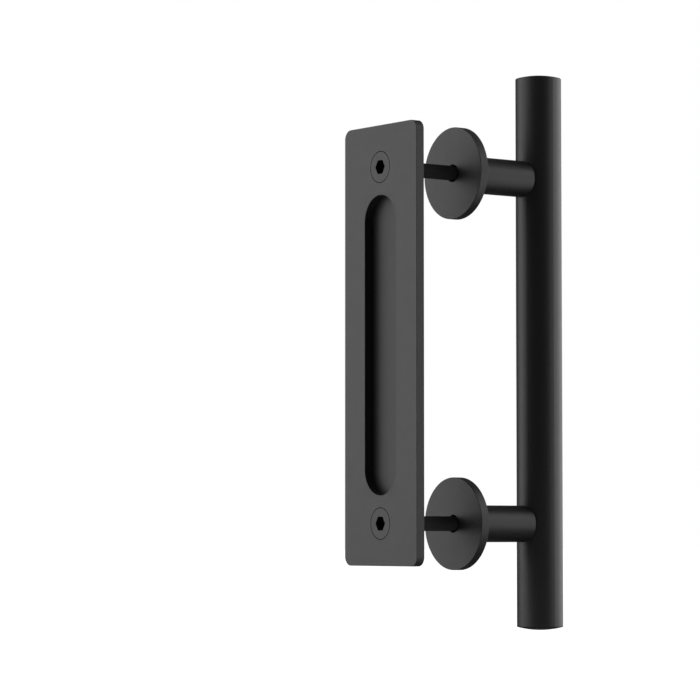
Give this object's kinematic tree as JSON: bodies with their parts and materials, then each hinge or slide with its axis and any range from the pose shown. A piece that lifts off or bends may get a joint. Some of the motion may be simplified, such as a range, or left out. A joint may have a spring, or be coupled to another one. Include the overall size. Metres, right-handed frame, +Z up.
{
  "type": "barn door pull handle",
  "caption": "Round pull bar on posts with rosettes, through-screwed to a flat flush pull plate on the other face of a sliding door.",
  "frame": {"origin": "middle of the flush plate's back face, which lies on the door", "axes": "+X across the plate, +Y through the door from the plate to the bar, +Z up along the bar"},
  "size_m": [0.0636, 0.1224, 0.3064],
  "materials": {
    "black_coating": "satin black powder coat on steel",
    "black_screws": "black finished steel screws",
    "plain_steel": "plain turned steel, hidden inside"
  },
  "bodies": {
    "root": {"flush_plate": "black_coating", "pull_bar": "black_coating", "top_end_cap": "black_coating", "bottom_end_cap": "black_coating", "upper_rosette": "black_coating", "upper_post": "black_coating", "upper_door_screw": "black_screws", "upper_post_stud": "plain_steel", "upper_bar_slug": "plain_steel", "lower_rosette": "black_coating", "lower_post": "black_coating", "lower_door_screw": "black_screws", "lower_post_stud": "plain_steel", "lower_bar_slug": "plain_steel"}
  },
  "joints": []
}
